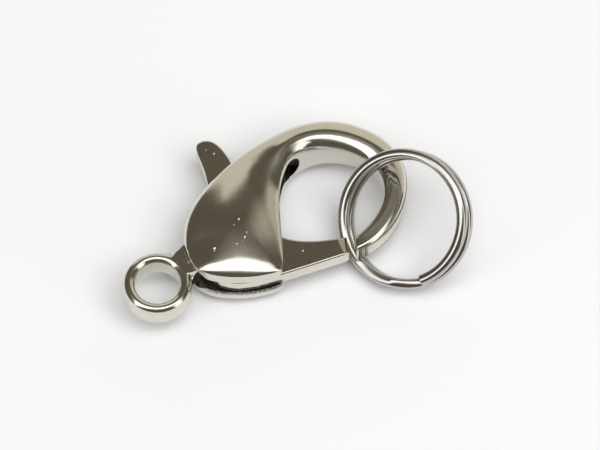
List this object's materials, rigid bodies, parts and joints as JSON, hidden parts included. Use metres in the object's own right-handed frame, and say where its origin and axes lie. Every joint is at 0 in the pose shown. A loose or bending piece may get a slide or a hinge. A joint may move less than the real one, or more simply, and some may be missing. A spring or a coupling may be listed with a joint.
{
  "type": "lobster clasp",
  "caption": "Lobster clasp with a hooked cast body, an eye at its tail, a sprung gate worked by a thumb tab, and a split ring hung through the hook.",
  "frame": {"origin": "centre of the eye's hole at mid thickness", "axes": "+Z along the eye's hole and through the thickness, +X from the eye towards the nose of the hook, +Y towards the thumb tab"},
  "size_m": [0.0181, 0.0113, 0.005],
  "materials": {
    "cast_nickel": "polished warm nickel plate over a cast body, with a few casting pits",
    "lever_nickel": "polished warm nickel plate with softened edges",
    "pin_steel": "plain drawn pin",
    "ring_steel": "bright plated hard wire"
  },
  "bodies": {
    "clasp": {"clasp_body": "cast_nickel", "pivot_pin": "pin_steel", "split_ring": "ring_steel"},
    "lever": {"lever": "lever_nickel"}
  },
  "joints": [
    {"name": "gate_hinge", "type": "hinge", "parent": "clasp", "child": "lever", "pos_m": [0.00549, -0.0003, 0], "axis": [0, 0, 1], "range_deg": [0, 20], "stiffness_Nm_per_rad": 0.01}
  ]
}
